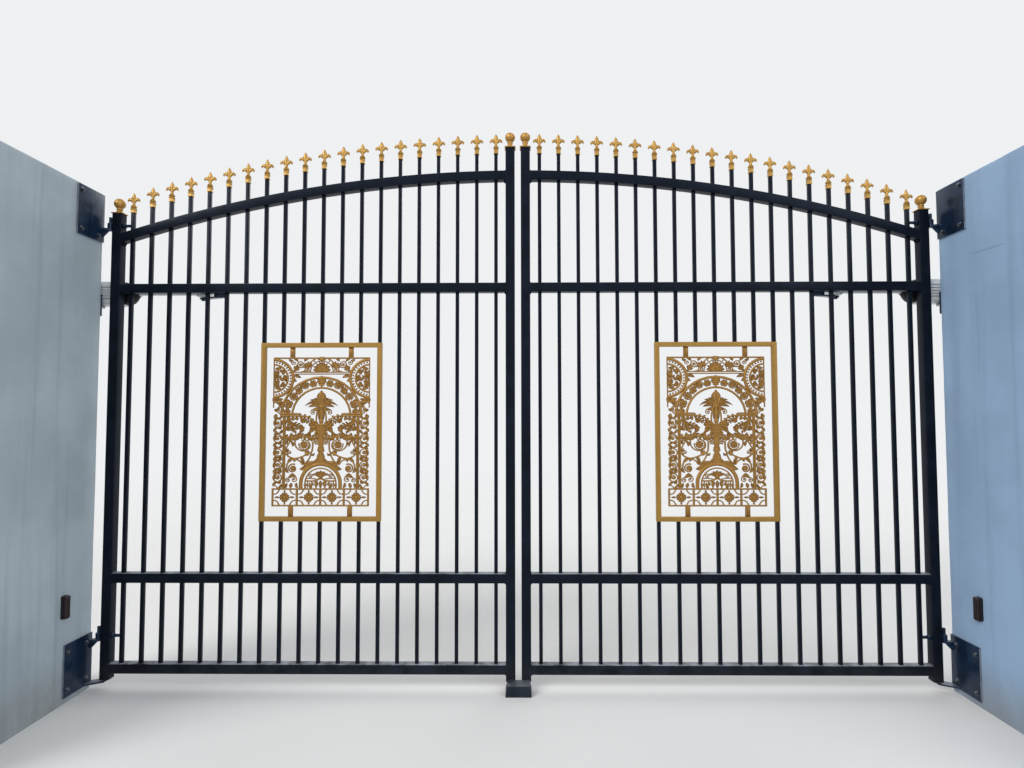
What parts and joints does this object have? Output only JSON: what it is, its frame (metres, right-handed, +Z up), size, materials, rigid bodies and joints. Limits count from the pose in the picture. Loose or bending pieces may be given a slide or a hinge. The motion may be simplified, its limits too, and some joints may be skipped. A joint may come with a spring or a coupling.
{
  "type": "double swing gate",
  "caption": "Arched double swing gate of black aluminium tube with fleur-de-lis finials and cast openwork panels, hung between rendered walls with linear rams.",
  "frame": {"origin": "on the ground under the centre stop, midway between the two leaves, in the plane of the closed leaves", "axes": "+X along the gate to the right as seen from outside, +Y inwards, the way the leaves open, +Z up"},
  "size_m": [5.025, 1.116, 2.996],
  "materials": {
    "render": "smooth painted render",
    "hinge_black": "gloss paint",
    "black_plastic": "satin",
    "black_aluminium": "satin powder coat",
    "gold_aluminium": "gold paint",
    "ram_grey": "painted",
    "ram_tube": "satin anodised"
  },
  "bodies": {
    "walls": {"left_wall": "render", "left_hinge_plates": "hinge_black", "left_photocell": "black_plastic", "left_ram_wall_bracket": "hinge_black", "right_wall": "render", "right_hinge_plates": "hinge_black", "right_photocell": "black_plastic", "right_ram_wall_bracket": "hinge_black", "floor_stop": "hinge_black"},
    "left_leaf": {"left_hinge_stile": "black_aluminium", "left_meeting_stile": "black_aluminium", "left_bottom_rail": "black_aluminium", "left_lower_rail": "black_aluminium", "left_upper_rail": "black_aluminium", "left_arched_top_rail": "black_aluminium", "left_pickets": "black_aluminium", "left_finials": "gold_aluminium", "left_ball_caps": "gold_aluminium", "left_panel_frame": "gold_aluminium", "left_panel_casting": "gold_aluminium", "left_eye_bolts": "hinge_black", "left_eye_nuts": "hinge_black", "left_ram_gate_bracket": "hinge_black"},
    "left_ram": {"left_ram_housing": "ram_grey", "left_ram_collar": "black_plastic", "left_ram_tube": "ram_tube"},
    "left_traveller": {"left_ram_traveller": "ram_grey"},
    "right_leaf": {"right_hinge_stile": "black_aluminium", "right_meeting_stile": "black_aluminium", "right_bottom_rail": "black_aluminium", "right_lower_rail": "black_aluminium", "right_upper_rail": "black_aluminium", "right_arched_top_rail": "black_aluminium", "right_pickets": "black_aluminium", "right_finials": "gold_aluminium", "right_ball_caps": "gold_aluminium", "right_panel_frame": "gold_aluminium", "right_panel_casting": "gold_aluminium", "right_eye_bolts": "hinge_black", "right_eye_nuts": "hinge_black", "right_ram_gate_bracket": "hinge_black"},
    "right_ram": {"right_ram_housing": "ram_grey", "right_ram_collar": "black_plastic", "right_ram_tube": "ram_tube"},
    "right_traveller": {"right_ram_traveller": "ram_grey"}
  },
  "joints": [
    {"name": "left_leaf_hinge", "type": "hinge", "parent": "walls", "child": "left_leaf", "pos_m": [-2.2405, 0, 1.4], "axis": [0, 0, 1], "range_deg": [0, 90]},
    {"name": "left_ram_pivot", "type": "hinge", "parent": "walls", "child": "left_ram", "pos_m": [-2.3355, 0.08, 2.13], "axis": [0, 0, 1], "range_deg": [0, 88]},
    {"name": "left_ram_travel", "type": "slide", "parent": "left_ram", "child": "left_traveller", "axis": [1, 0, 0], "range_m": [-0.1748, 0]},
    {"name": "right_leaf_hinge", "type": "hinge", "parent": "walls", "child": "right_leaf", "pos_m": [2.2405, 0, 1.4], "axis": [0, 0, -1], "range_deg": [0, 90]},
    {"name": "right_ram_pivot", "type": "hinge", "parent": "walls", "child": "right_ram", "pos_m": [2.3355, 0.08, 2.13], "axis": [0, 0, -1], "range_deg": [0, 88]},
    {"name": "right_ram_travel", "type": "slide", "parent": "right_ram", "child": "right_traveller", "axis": [-1, 0, 0], "range_m": [-0.1748, 0]}
  ],
  "couplings": [
    {"joint": "left_ram_pivot", "follows": "left_leaf_hinge", "ratio": 0.97614},
    {"joint": "left_ram_travel", "follows": "left_leaf_hinge", "m_per_rad": -0.11123},
    {"joint": "right_ram_pivot", "follows": "right_leaf_hinge", "ratio": 0.97614},
    {"joint": "right_ram_travel", "follows": "right_leaf_hinge", "m_per_rad": -0.11123}
  ]
}
